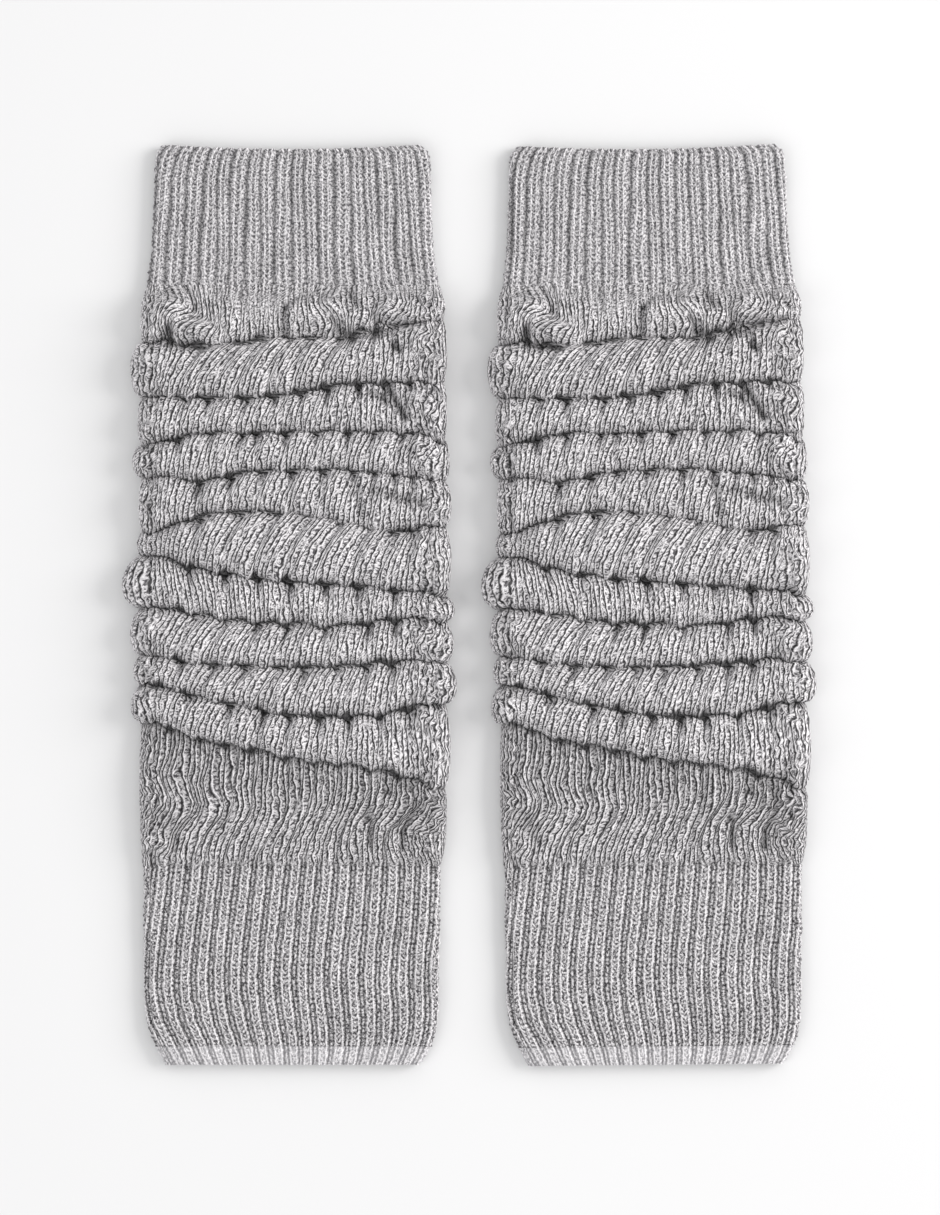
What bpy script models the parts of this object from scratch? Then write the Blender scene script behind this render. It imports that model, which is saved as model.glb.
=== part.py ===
"""A pair of slouch leg warmers in ribbed knit, laid flat side by side on a surface.

Metres, +Z up, the surface is z = 0. Each leg warmer is one knitted tube, pressed flat: a ribbed upper cuff
at +Y, a long loose leg pushed down into rolls, a ribbed lower cuff and a plain welt at -Y. A length called
down is measured from the upper cuff's edge towards the welt.
"""

import math
from collections import namedtuple

import bmesh
import bpy
import numpy as np

MM = 0.001

# Driving sizes, in metres
LENGTH = 361.3 * MM
SPACING = 141.1 * MM
RIGHT_TILT = math.radians(0.56)
# Puts the middle of the pair over the origin
PAIR_SHIFT = 1.5 * MM

CUFF_WALL = 2.0 * MM
LEG_WALL = 1.8 * MM
WELT_WALL = 2.1 * MM
SEAM_GAP = 0.3 * MM
UPPER_SEAM = 54.8 * MM
LOWER_SEAM = 283.1 * MM
WELT_SEAM = 354.0 * MM

# The front's ribs, and one rib's heights as shares of its rise, from the groove beside it
UPPER_RIBS = 19
LOWER_RIBS = 17
RIB_SHAPE = (0.0, 0.8, 1.0, 0.8)
RIB_RISE = 0.6 * MM

# The upper edge sags a little in its middle, down to this far along the cuff
EDGE_SAG = 1.6 * MM
SAG_REACH = 20.0 * MM

GATHERS_ACROSS = 12
GATHER_RISE = 1.3 * MM
GATHER_REACH = 22.0 * MM

# Under each roll the cloth rests flat, and between two rolls it lifts off the surface
LIFT = 1.0 * MM
LAND_SHARE = 0.75
WIDEST_AT = 0.44
CROWN_SHARE = 0.5
LEAN = 0.09
SEAM_FADE = 8.0 * MM
# How much the wall thickens towards a crease, per steepness of the roll, to stay as thick on its slopes
SLOPE_EXTRA = 1.5
LEAST_SIDE = 0.3 * MM

# Points round the cloth: across the front, round each side and across the back
Around = namedtuple("Around", "front side back")
UPPER_CUFF_POINTS = Around(UPPER_RIBS * len(RIB_SHAPE), 4, 6)
LOWER_CUFF_POINTS = Around(LOWER_RIBS * len(RIB_SHAPE), 4, 6)
CUFF_INSIDE_POINTS = Around(7, 2, 2)
LEG_POINTS = Around(2 * GATHERS_ACROSS, 4, 8)
LEG_INSIDE_POINTS = Around(GATHERS_ACROSS, 4, 4)
# The shares of the way round that the front and one side take
FRONT_PART = 0.46
SIDE_PART = 0.04

# Rings along the cloth, as shares of one roll
ROLL_RINGS = (0.0, 0.2, 0.5, 0.8)
RELAXED_RINGS = (0.0, 0.12, 0.3, 0.5, 0.68, 0.8, 0.9)

# The flat tube's sections in mm: the two edges from its centre line, its height and its sides' radius
Section = namedtuple("Section", "down left right height side")
SECTIONS = (
    Section(0.0, -51.2, 49.9, 4.3, 1.9),
    Section(2.2, -53.4, 52.8, 5.0, 2.5),
    Section(5.1, -54.2, 53.6, 5.2, 2.6),
    Section(20.9, -54.8, 54.0, 5.2, 2.6),
    Section(40.6, -55.6, 54.8, 5.2, 2.6),
    Section(54.8, -57.4, 57.0, 5.4, 2.7),
    Section(62.0, -58.9, 58.4, 6.6, 4.4),
    Section(218.0, -59.5, 59.5, 6.6, 4.4),
    Section(249.6, -59.8, 59.1, 6.6, 4.4),
    Section(273.2, -59.4, 58.0, 6.0, 3.6),
    Section(283.1, -59.0, 57.3, 5.4, 2.7),
    Section(296.9, -58.7, 57.2, 5.2, 2.6),
    Section(336.3, -58.4, 56.9, 5.2, 2.6),
    Section(344.2, -57.5, 56.3, 5.2, 2.6),
    Section(350.1, -55.7, 55.2, 5.2, 2.6),
    Section(354.0, -54.1, 53.8, 5.2, 2.6),
    Section(358.5, -52.2, 51.6, 5.0, 2.5),
    Section(361.3, -50.4, 49.6, 4.5, 2.1),
)

# The rolls in mm. The seven places tell how far down the crease over each roll lies, from the left edge
# to the right one. Then come the roll's rise over its creases and how far it bulges at each edge.
Roll = namedtuple("Roll", "name p0 p1 p2 p3 p4 p5 p6 rise left_out right_out")
ROLLS = (
    Roll("under_cuff", 54.8, 54.8, 54.8, 54.8, 54.8, 54.8, 54.8, 5.6, 1.0, 1.0),
    Roll("first", 78.1, 79.2, 77.3, 76.5, 76.5, 72.2, 69.0, 7.0, 5.0, 1.7),
    Roll("second", 99.0, 100.5, 100.5, 98.6, 95.4, 94.6, 93.4, 6.0, 2.0, 1.5),
    Roll("third", 117.9, 114.3, 113.9, 113.9, 113.5, 113.9, 115.9, 6.2, 4.0, 2.4),
    Roll("fourth", 130.5, 133.3, 129.3, 128.9, 128.5, 129.7, 132.1, 6.2, 1.4, 3.0),
    Roll("wide", 152.6, 146.7, 145.1, 146.3, 149.4, 153.0, 150.2, 7.4, 2.2, 2.7),
    Roll("slanted", 161.3, 167.2, 170.3, 172.7, 173.9, 175.4, 177.0, 6.6, 8.0, 4.0),
    Roll("seventh", 181.8, 185.7, 188.5, 188.9, 190.0, 187.3, 186.9, 6.2, 4.7, 3.5),
    Roll("eighth", 200.3, 204.6, 205.4, 205.8, 205.4, 203.8, 203.0, 6.0, 3.4, 4.6),
    Roll("last", 211.7, 217.6, 221.6, 224.7, 225.1, 224.3, 219.2, 6.6, 4.3, 2.4),
    Roll("relaxed", 226.7, 233.4, 237.0, 241.3, 243.7, 246.8, 252.3, 2.2, 0.8, 1.8),
    Roll("end", 283.1, 283.1, 283.1, 283.1, 283.1, 283.1, 283.1, 0.0, 0.0, 0.0),
)

# Short creases that don't run right across, in mm: two ends, how deep and how wide
Tuck = namedtuple("Tuck", "name x0 down0 x1 down1 depth reach")
TUCKS = (
    Tuck("left_curl_over", -57.0, 60.0, -40.0, 60.5, 3.0, 3.0),
    Tuck("left_curl_end", -39.0, 61.5, -36.5, 70.0, 3.6, 3.4),
    Tuck("left_curl_under", -45.0, 78.0, -48.0, 71.0, 2.6, 2.8),
    Tuck("smooth_middle", -20.0, 66.0, -8.0, 66.0, 4.6, 9.0),
    Tuck("right_lump_end", -3.5, 74.0, 1.5, 61.5, 3.6, 3.4),
    Tuck("right_lump_over", 3.0, 59.5, 27.0, 60.5, 3.0, 3.0),
    Tuck("second_right_split", 37.5, 96.0, 44.0, 107.0, 3.2, 3.0),
    Tuck("fourth_right_split", 31.0, 135.5, 50.0, 140.5, 3.4, 3.4),
    Tuck("relaxed_right_fold", 36.0, 246.0, 57.0, 254.0, 1.6, 3.0),
    Tuck("relaxed_left_fold", -56.0, 262.0, -46.0, 274.0, 1.4, 3.4),
)

# How far the lower cuff's ribs lean aside, in mm
Waver = namedtuple("Waver", "down aside")
WAVERS = (
    Waver(283.1, 1.8),
    Waver(300.0, 1.0),
    Waver(320.0, -1.0),
    Waver(334.0, -1.4),
    Waver(346.0, -0.3),
    Waver(354.0, 1.0),
    Waver(361.3, 1.8),
)

# Rings of the three plain pieces, as distances down
UPPER_CUFF_RINGS = (0.0, 2.2 * MM, 20.9 * MM, 40.6 * MM, UPPER_SEAM)
LOWER_CUFF_RINGS = (LOWER_SEAM, 296.9 * MM, 320.0 * MM, 338.0 * MM, 346.5 * MM, WELT_SEAM)
WELT_RINGS = (WELT_SEAM, 358.5 * MM, LENGTH)

RIB_GREY = (0.36, 0.355, 0.37)
LEG_GREY = (0.38, 0.37, 0.38)
WELT_GREY = (0.53, 0.525, 0.535)
KNIT_ROUGHNESS = 0.92


def clear_scene():
    for old in list(bpy.data.objects):
        bpy.data.objects.remove(old, do_unlink=True)


def knit_material(name, colour):
    material = bpy.data.materials.new(name)
    material.use_nodes = True
    shader = material.node_tree.nodes["Principled BSDF"]
    shader.inputs["Base Color"].default_value = (*colour, 1.0)
    shader.inputs["Roughness"].default_value = KNIT_ROUGHNESS
    shader.inputs["Metallic"].default_value = 0.0
    return material


def section_at(down):
    """The flat tube's section at a distance down, in metres."""
    downs = [row.down for row in SECTIONS]
    values = [np.interp(down / MM, downs, [row[i] for row in SECTIONS]) * MM for i in range(1, 5)]
    return Section(down, *values)


def smooth_between(values, share):
    """A smooth curve through evenly spaced values, read at a share of its length."""
    place = min(max(share, 0.0), 1.0) * (len(values) - 1)
    i = min(int(place), len(values) - 2)
    t = place - i
    before = values[max(i - 1, 0)]
    after = values[min(i + 2, len(values) - 1)]
    start_slope = (values[i + 1] - before) / 2
    end_slope = (after - values[i]) / 2
    return (
        values[i] * (2 * t**3 - 3 * t**2 + 1)
        + start_slope * (t**3 - 2 * t**2 + t)
        + values[i + 1] * (3 * t**2 - 2 * t**3)
        + end_slope * (t**3 - t**2)
    )


def crease_down(roll, across, on_back):
    """How far down the crease over a roll lies. On the back it runs straight from edge to edge."""
    places = roll[1:8]
    if on_back:
        return (places[0] + (places[-1] - places[0]) * across) * MM
    return smooth_between(places, across) * MM


def stations(points):
    """Places round the tube, as (across, facing): across is 0 at the left and 1 at the right, and facing
    is the angle that the cloth faces, 90 degrees on the front and -90 on the back."""
    found = [(i / points.front, 90.0) for i in range(points.front + 1)]
    found += [(1.0, 90.0 - 180.0 * i / points.side) for i in range(1, points.side)]
    found += [(1.0 - i / points.back, -90.0) for i in range(points.back + 1)]
    found += [(0.0, -90.0 - 180.0 * i / points.side) for i in range(1, points.side)]
    return found


def tuck_depth(x, down, widened):
    """How far the short creases press the front in at a place. The wall's inside is pressed over a wider
    stretch, so that the wall keeps its thickness there."""
    depth = 0.0
    for tuck in TUCKS:
        start = np.array((tuck.x0, tuck.down0)) * MM
        run = np.array((tuck.x1, tuck.down1)) * MM - start
        to_place = np.array((x, down)) - start
        share = min(max(to_place @ run / (run @ run), 0.0), 1.0)
        away = max(0.0, np.linalg.norm(to_place - share * run) - widened) / (tuck.reach * MM)
        depth = max(depth, tuck.depth * MM * math.exp(-away * away))
    return depth


def roll_profile(share):
    """A roll's round cross-section: 0 at its creases and 1 at its crown."""
    return math.sqrt(max(0.0, 1.0 - (2.0 * share - 1.0) ** 2))


def place(section, across, facing, front, back, bulge):
    """One point of a flattened tube whose front and back lie at those heights."""
    side = section.side
    angle = math.radians(facing)
    if abs(facing) == 90.0:
        x = section.left + side + (section.right - section.left - 2 * side) * across
        return x, front if facing > 0 else back
    widest = back + (front - back) * WIDEST_AT
    centre = section.right - side if across > 0.5 else section.left + side
    x = centre + (side + bulge) * math.cos(angle)
    reach = front - widest if math.sin(angle) > 0 else widest - back
    return x, widest + reach * math.sin(angle)


def thinned(section, wall):
    """The section of the tube's inside, one wall in from each edge."""
    side = max(section.side - wall, LEAST_SIDE)
    return section._replace(left=section.left + wall, right=section.right - wall, side=side)


def local_point(x, down, height):
    return x, LENGTH / 2 - down, height


def leg_ring(index, share, points, wall):
    """A ring of the leg at a share of one roll. A wall above 0 gives the ring that far inside."""
    roll = ROLLS[index]
    after = ROLLS[min(index + 1, len(ROLLS) - 1)]
    ring = []
    for across, facing in stations(points):
        on_back = facing == -90.0
        top = crease_down(roll, across, on_back)
        span = crease_down(after, across, on_back) - top
        profile = roll_profile(share) if roll.name != "end" else 0.0
        down = top + span * (share + LEAN * profile * share)
        down = min(max(down, UPPER_SEAM + SEAM_GAP / 2), LOWER_SEAM - SEAM_GAP / 2)
        section = section_at(down)
        rise = min(roll.rise * MM, CROWN_SHARE * span) * profile
        front = section.height + rise
        fade = min(1.0, (down - UPPER_SEAM) / SEAM_FADE, (LOWER_SEAM - down) / SEAM_FADE)
        back = LIFT * max(0.0, fade) * (1.0 - min(1.0, profile / LAND_SHARE))
        out = (roll.left_out if across < 0.5 else roll.right_out) * MM * profile
        if wall > 0:
            section = thinned(section, wall)
            steepness = min(roll.rise * MM / span, CROWN_SHARE) if span > 0 else 0.0
            front -= wall * SLOPE_EXTRA * steepness * (1.0 - profile * profile)
        x, height = place(section, across, facing, front - wall, back + wall, out)
        if facing > 0:
            height -= min(tuck_depth(x, down, wall), rise) * math.sin(math.radians(facing))
        if facing == 90.0 and wall == 0:
            near_cuff = max(0.0, 1.0 - (LOWER_SEAM - down) / GATHER_REACH)
            wave = math.cos(2 * math.pi * GATHERS_ACROSS * across)
            height += GATHER_RISE * near_cuff * (1.0 + wave) / 2
        ring.append(local_point(x, down, height))
    return ring


def cuff_ring(down, points, wall, ribbed):
    """A ring of a cuff or of the welt. Its ribs are raised on the front only, because the back rests."""
    section = section_at(down)
    sag = EDGE_SAG * max(0.0, 1.0 - down / SAG_REACH)
    aside = np.interp(down / MM, [row.down for row in WAVERS], [row.aside for row in WAVERS]) * MM
    aside = aside if down > LOWER_SEAM - SEAM_GAP else 0.0
    front = section.height
    if wall > 0:
        section = thinned(section, wall)
    ring = []
    for i, (across, facing) in enumerate(stations(points)):
        x, height = place(section, across, facing, front - wall, wall, 0.0)
        if facing == 90.0:
            x += aside * (1.0 - (2 * across - 1) ** 4)
            height += RIB_RISE * RIB_SHAPE[i % len(RIB_SHAPE)] if ribbed else 0.0
        ring.append(local_point(x, down + sag * (1.0 - (2 * across - 1) ** 2), height))
    return ring


def ring_positions(points):
    """Where each point of a ring lies round the tube, from 0 to 1, alike for rings of any count."""
    found = [FRONT_PART * i / points.front for i in range(points.front + 1)]
    found += [FRONT_PART + SIDE_PART * i / points.side for i in range(1, points.side)]
    found += [0.5 + FRONT_PART * i / points.back for i in range(points.back + 1)]
    found += [0.5 + FRONT_PART + SIDE_PART * i / points.side for i in range(1, points.side)]
    return found


def sleeve(mesh, rings):
    """Skins rings of one count into an open sleeve, two triangles to a quad, and returns its rings."""
    made = [[mesh.verts.new(point) for point in ring] for ring in rings]
    for upper, lower in zip(made, made[1:]):
        for i in range(len(upper)):
            j = (i + 1) % len(upper)
            mesh.faces.new((upper[i], upper[j], lower[j]))
            mesh.faces.new((upper[i], lower[j], lower[i]))
    return made


def rim(mesh, outer, inner, outer_points, inner_points):
    """Closes the end of the wall between two rings of different counts."""
    outer_at = ring_positions(outer_points) + [1.0]
    inner_at = ring_positions(inner_points) + [1.0]
    i = 0
    j = 0
    while i < len(outer) or j < len(inner):
        this_outer = outer[i % len(outer)]
        this_inner = inner[j % len(inner)]
        outer_next = j == len(inner) or (i < len(outer) and outer_at[i + 1] <= inner_at[j + 1])
        if outer_next:
            i += 1
            mesh.faces.new((this_outer, outer[i % len(outer)], this_inner))
        else:
            j += 1
            mesh.faces.new((this_outer, inner[j % len(inner)], this_inner))


def wall_mesh(name, outer_rings, inner_rings, outer_points, inner_points, material):
    """A closed wall of cloth: an outer and an inner sleeve, joined at both ends."""
    mesh = bmesh.new()
    outer = sleeve(mesh, outer_rings)
    inner = sleeve(mesh, inner_rings)
    for end in (0, -1):
        rim(mesh, outer[end], inner[end], outer_points, inner_points)
    bmesh.ops.recalc_face_normals(mesh, faces=mesh.faces)
    data = bpy.data.meshes.new(name)
    mesh.to_mesh(data)
    mesh.free()
    data.shade_smooth()
    data.materials.append(material)
    return data


def plain_mesh(name, downs, wall, points, ribbed, material):
    """The wall of a cuff or of the welt, half a seam's gap short of each seam."""
    places = list(downs)
    if places[0] > 0:
        places[0] += SEAM_GAP / 2
    if places[-1] < LENGTH:
        places[-1] -= SEAM_GAP / 2
    outer = [cuff_ring(down, points, 0.0, ribbed) for down in places]
    inner = [cuff_ring(down, CUFF_INSIDE_POINTS, wall, False) for down in places]
    return wall_mesh(name, outer, inner, points, CUFF_INSIDE_POINTS, material)


def leg_mesh(material):
    """The loose leg, whose rolls follow the table from seam to seam."""
    outer = []
    inner = []
    for index, roll in enumerate(ROLLS[:-1]):
        shares = RELAXED_RINGS if roll.name == "relaxed" else ROLL_RINGS
        outer += [leg_ring(index, share, LEG_POINTS, 0.0) for share in shares]
        inner += [leg_ring(index, share, LEG_INSIDE_POINTS, LEG_WALL) for share in shares]
    outer.append(leg_ring(len(ROLLS) - 1, 0.0, LEG_POINTS, 0.0))
    inner.append(leg_ring(len(ROLLS) - 1, 0.0, LEG_INSIDE_POINTS, LEG_WALL))
    return wall_mesh("leg", outer, inner, LEG_POINTS, LEG_INSIDE_POINTS, material)


def leg_warmer_meshes():
    """The four pieces of one leg warmer, by name."""
    rib = knit_material("rib_knit", RIB_GREY)
    loose = knit_material("loose_knit", LEG_GREY)
    pale = knit_material("welt_knit", WELT_GREY)
    upper = UPPER_CUFF_POINTS
    lower = LOWER_CUFF_POINTS
    return {
        "upper_cuff": plain_mesh("upper_cuff", UPPER_CUFF_RINGS, CUFF_WALL, upper, True, rib),
        "leg": leg_mesh(loose),
        "lower_cuff": plain_mesh("lower_cuff", LOWER_CUFF_RINGS, CUFF_WALL, lower, True, rib),
        "welt": plain_mesh("welt", WELT_RINGS, WELT_WALL, lower, False, pale),
    }


def main():
    clear_scene()
    meshes = leg_warmer_meshes()
    for side, where, tilt in (("left", -0.5, 0.0), ("right", 0.5, RIGHT_TILT)):
        holder = bpy.data.objects.new(side, None)
        bpy.context.scene.collection.objects.link(holder)
        holder.location = (where * SPACING + PAIR_SHIFT, 0.0, 0.0)
        holder.rotation_euler = (0.0, 0.0, tilt)
        for name, data in meshes.items():
            piece = bpy.data.objects.new(side + "_" + name, data)
            bpy.context.scene.collection.objects.link(piece)
            piece.parent = holder


main()
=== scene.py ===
import math

import bpy
import numpy as np
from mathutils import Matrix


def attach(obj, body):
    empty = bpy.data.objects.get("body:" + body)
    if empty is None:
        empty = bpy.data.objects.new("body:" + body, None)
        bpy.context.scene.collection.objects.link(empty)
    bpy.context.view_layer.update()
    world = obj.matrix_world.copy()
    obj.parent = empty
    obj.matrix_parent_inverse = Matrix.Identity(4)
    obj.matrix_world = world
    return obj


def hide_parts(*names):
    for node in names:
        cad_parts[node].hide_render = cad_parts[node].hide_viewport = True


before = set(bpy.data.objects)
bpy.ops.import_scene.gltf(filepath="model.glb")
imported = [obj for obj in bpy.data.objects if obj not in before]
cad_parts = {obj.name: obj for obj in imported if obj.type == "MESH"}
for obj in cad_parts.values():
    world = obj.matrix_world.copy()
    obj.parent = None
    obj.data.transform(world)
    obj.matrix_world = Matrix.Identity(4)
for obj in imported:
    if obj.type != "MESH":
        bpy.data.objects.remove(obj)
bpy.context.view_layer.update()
mm = 0.001

# A pair of slouch leg warmers lying flat. Each is built in its own sizes: x from its centre line, down
# from its upper edge towards the welt, and up from the surface. It is then set beside the other one.
pair = {
    "length": 361.3 * mm,
    "spacing": 141.1 * mm,
    "shift": 1.5 * mm,
    "tilts": {"left": 0.0, "right": math.radians(0.56)},
    "seeds": {"left": 11, "right": 29},
    # down, left edge, right edge, height, side radius
    "sections": [
        (0.0, -51.2, 49.9, 4.3, 1.9), (2.2, -53.4, 52.8, 5.0, 2.5), (5.1, -54.2, 53.6, 5.2, 2.6),
        (20.9, -54.8, 54.0, 5.2, 2.6), (40.6, -55.6, 54.8, 5.2, 2.6), (54.8, -57.4, 57.0, 5.4, 2.7),
        (62.0, -58.9, 58.4, 6.6, 4.4), (218.0, -59.5, 59.5, 6.6, 4.4), (249.6, -59.8, 59.1, 6.6, 4.4),
        (273.2, -59.4, 58.0, 6.0, 3.6), (283.1, -59.0, 57.3, 5.4, 2.7), (296.9, -58.7, 57.2, 5.2, 2.6),
        (336.3, -58.4, 56.9, 5.2, 2.6), (344.2, -57.5, 56.3, 5.2, 2.6), (350.1, -55.7, 55.2, 5.2, 2.6),
        (354.0, -54.1, 53.8, 5.2, 2.6), (358.5, -52.2, 51.6, 5.0, 2.5), (361.3, -50.4, 49.6, 4.5, 2.1),
    ],
    "front": 110.0 * mm,
    "widestAt": 0.44,
    "wall": 1.2 * mm,
}


def smoothNoise(seed, place, lowest, highest, count=6):
    # a smooth uneven curve along place, from about -1 to 1: waves with lowest to highest cycles for each 1
    rng = np.random.default_rng(seed)
    sizes = rng.uniform(0.6, 1.0, count)
    phases = rng.uniform(0, 2 * math.pi, count)
    cycles = np.linspace(lowest, highest, count)
    total = sum(size * np.sin(2 * math.pi * cycle * place + phase)
                for size, cycle, phase in zip(sizes, cycles, phases))
    return total / sizes.sum() * 1.6


def patchNoise(seed, x, y, cell, count=9):
    # soft uneven patches in the plane, about one cell wide
    rng = np.random.default_rng(seed)
    angles = rng.uniform(0, math.pi, count)
    lengths = cell * rng.uniform(0.7, 1.5, count)
    phases = rng.uniform(0, 2 * math.pi, count)
    total = 0
    for angle, length, phase in zip(angles, lengths, phases):
        total = total + np.sin(2 * math.pi * (x * math.cos(angle) + y * math.sin(angle)) / length + phase)
    return total / math.sqrt(count)


def sectionAt(down):
    table = np.array(pair["sections"]) * mm
    return [np.interp(down, table[:, 0], table[:, i]) for i in range(1, 5)]


def columnsRound(front, side, back, wide, halfRound):
    # distances round the tube, from the left end of its front over the front, right side, back and left side
    return np.concatenate([
        np.linspace(0, wide, front, endpoint=False),
        wide + np.linspace(0, halfRound, side, endpoint=False),
        wide + halfRound + np.linspace(0, wide, back, endpoint=False),
        2 * wide + halfRound + np.linspace(0, halfRound, side, endpoint=False),
    ])


def foldRound(place, wide, halfRound):
    # how far across a distance round the tube lies, and the angle that the cloth faces, 90 on the front
    place = np.mod(place, 2 * (wide + halfRound))
    corners = np.cumsum([0, wide, halfRound, wide, halfRound])
    across = np.interp(place, corners, [0, 1, 1, 0, 0])
    facing = np.interp(place, corners, [90, 90, -90, -90, -270])
    return across, facing


def placeOnTube(across, facing, down, front, back, bulge):
    # x and height of a pressed tube
    left, right, _, side = sectionAt(down)
    turn = np.radians(facing)
    flat = np.abs(facing) == 90
    x = left + side + (right - left - 2 * side) * across
    edge = np.where(across > 0.5, right - side, left + side)
    x = np.where(flat, x, edge + (side + bulge) * np.cos(turn))
    widest = back + (front - back) * pair["widestAt"]
    reach = np.where(np.sin(turn) > 0, front - widest, widest - back)
    height = np.where(flat, np.where(facing > 0, front, back), widest + reach * np.sin(turn))
    return x, height


def surfaceNormals(points):
    round0 = np.roll(points, -1, axis=1) - np.roll(points, 1, axis=1)
    along = np.gradient(points, axis=0)
    normals = np.cross(round0, along)
    return normals / np.maximum(np.linalg.norm(normals, axis=2, keepdims=True), 1e-12)


def gridFaces(rows, count, first, flipped=False):
    r, c = np.meshgrid(np.arange(rows - 1), np.arange(count), indexing="ij")
    a = first + r * count + c
    b = first + r * count + (c + 1) % count
    quads = np.stack([a, b, b + count, a + count], axis=-1).reshape(-1, 4)
    return quads[:, ::-1] if flipped else quads


def rimFaces(outerRing, innerRing, flipped):
    # joins two rings of different counts with triangles, by how far round each point is
    faces = []
    i = j = 0
    while i < len(outerRing) or j < len(innerRing):
        nearOuter = (i + 1) / len(outerRing)
        nearInner = (j + 1) / len(innerRing)
        a = outerRing[i % len(outerRing)]
        b = innerRing[j % len(innerRing)]
        if j == len(innerRing) or (i < len(outerRing) and nearOuter <= nearInner):
            i += 1
            faces.append((a, b, outerRing[i % len(outerRing)]))
        else:
            j += 1
            faces.append((a, b, innerRing[j % len(innerRing)]))
    return [face[::-1] for face in faces] if flipped else faces


def toFrame(points, side):
    # from a leg warmer's own sizes to the frame
    tilt = pair["tilts"][side]
    x = points[..., 0]
    y = pair["length"] / 2 - points[..., 1]
    middle = pair["shift"] + pair["spacing"] * (-0.5 if side == "left" else 0.5)
    return np.stack([
        middle + x * math.cos(tilt) - y * math.sin(tilt),
        x * math.sin(tilt) + y * math.cos(tilt),
        points[..., 2],
    ], axis=-1)


def insideOf(points, everyRow, everyColumn, sunk=0.0):
    # the inner face of the cloth: a coarser copy of the outer one, one wall further in, and sunk from the
    # folds of the front
    rows = np.unique(np.append(np.arange(0, points.shape[0], everyRow), points.shape[0] - 1))
    columns = np.arange(0, points.shape[1], everyColumn)
    normals = surfaceNormals(points)
    inner = points - normals * pair["wall"]
    fromRim = np.minimum(points[..., 1] - points[0, :, 1], points[-1, :, 1] - points[..., 1])
    inner[..., 2] -= sunk * np.clip(normals[..., 2], 0, 1) * np.clip(fromRim / (3 * mm), 0, 1)
    inner = inner[rows][:, columns]
    inner[..., 1] = np.clip(inner[..., 1], points[0, :, 1].min(), points[-1, :, 1].max())
    inner[..., 2] = np.maximum(inner[..., 2], 0.8 * mm)
    return inner


def knitMesh(name, outer, inner, knitU, knitV, ribU, fields, side, material):
    # a closed wall of cloth: the knitted outer face, the plain inner face and the two rims
    rows, count = outer.shape[:2]
    innerRows, innerCount = inner.shape[:2]
    points = np.concatenate([outer.reshape(-1, 3), inner.reshape(-1, 3)])
    firstInner = rows * count
    quads = np.concatenate([gridFaces(rows, count, 0, True), gridFaces(innerRows, innerCount, firstInner)])
    rims = []
    for outerRow, innerRow, flipped in ((0, 0, True), (rows - 1, innerRows - 1, False)):
        rims += rimFaces(list(range(outerRow * count, (outerRow + 1) * count)),
                         [firstInner + innerRow * innerCount + k for k in range(innerCount)], flipped)
    rims = np.array(rims)
    mesh = bpy.data.meshes.new(name)
    mesh.vertices.add(len(points))
    mesh.vertices.foreach_set("co", toFrame(points, side).astype(np.float32).ravel())
    loops = np.concatenate([quads.ravel(), rims.ravel()])
    starts = np.concatenate([np.arange(len(quads)) * 4, len(quads) * 4 + np.arange(len(rims)) * 3])
    mesh.loops.add(len(loops))
    mesh.loops.foreach_set("vertex_index", loops.astype(np.int32))
    mesh.polygons.add(len(starts))
    mesh.polygons.foreach_set("loop_start", starts.astype(np.int32))
    mesh.update(calc_edges=True)
    mesh.shade_smooth()
    # knit coordinates: wales round the tube and courses along it, unbroken at the last column
    innerAt = np.arange(innerRows * innerCount)
    v = np.concatenate([knitV.ravel(), (innerAt // innerCount) / max(innerRows - 1, 1) * knitV.max()])
    for layerName, across in (("knit", knitU), ("ribs", ribU)):
        turns = math.ceil(across[0].max() - across[0].min())
        u = np.concatenate([across.ravel(), (innerAt % innerCount) / innerCount * turns])
        loopU = u[loops]
        for first, size, corners in ((0, quads.size, 4), (quads.size, rims.size, 3)):
            block = loopU[first:first + size].reshape(-1, corners)
            wraps = (block.max(axis=1, keepdims=True) - block) > turns / 2
            loopU[first:first + size] = (block + wraps * turns).ravel()
        layer = mesh.uv_layers.new(name=layerName)
        layer.data.foreach_set("uv", np.stack([loopU, v[loops]], axis=-1).astype(np.float32).ravel())
    # the rims turn sharply from the outer face
    edges = np.empty(len(mesh.edges) * 2, dtype=np.int32)
    mesh.edges.foreach_get("vertices", edges)
    edges = edges.reshape(-1, 2)
    onRim = (edges < count).all(axis=1) | ((edges >= (rows - 1) * count) & (edges < firstInner)).all(axis=1)
    mesh.attributes.new("sharp_edge", "BOOLEAN", "EDGE").data.foreach_set("value", onRim)
    for field, values in fields.items():
        plain = np.full(len(innerAt), 1.0 if field == "pitch" else 0.0)
        values = np.concatenate([np.broadcast_to(values, (rows, count)).ravel(), plain])
        mesh.attributes.new(field, "FLOAT", "POINT").data.foreach_set("value", values.astype(np.float32))
    mesh.materials.append(material)
    mesh.validate()
    piece = bpy.data.objects.new(name, mesh)
    bpy.context.scene.collection.objects.link(piece)
    return piece


# Knit materials

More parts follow.
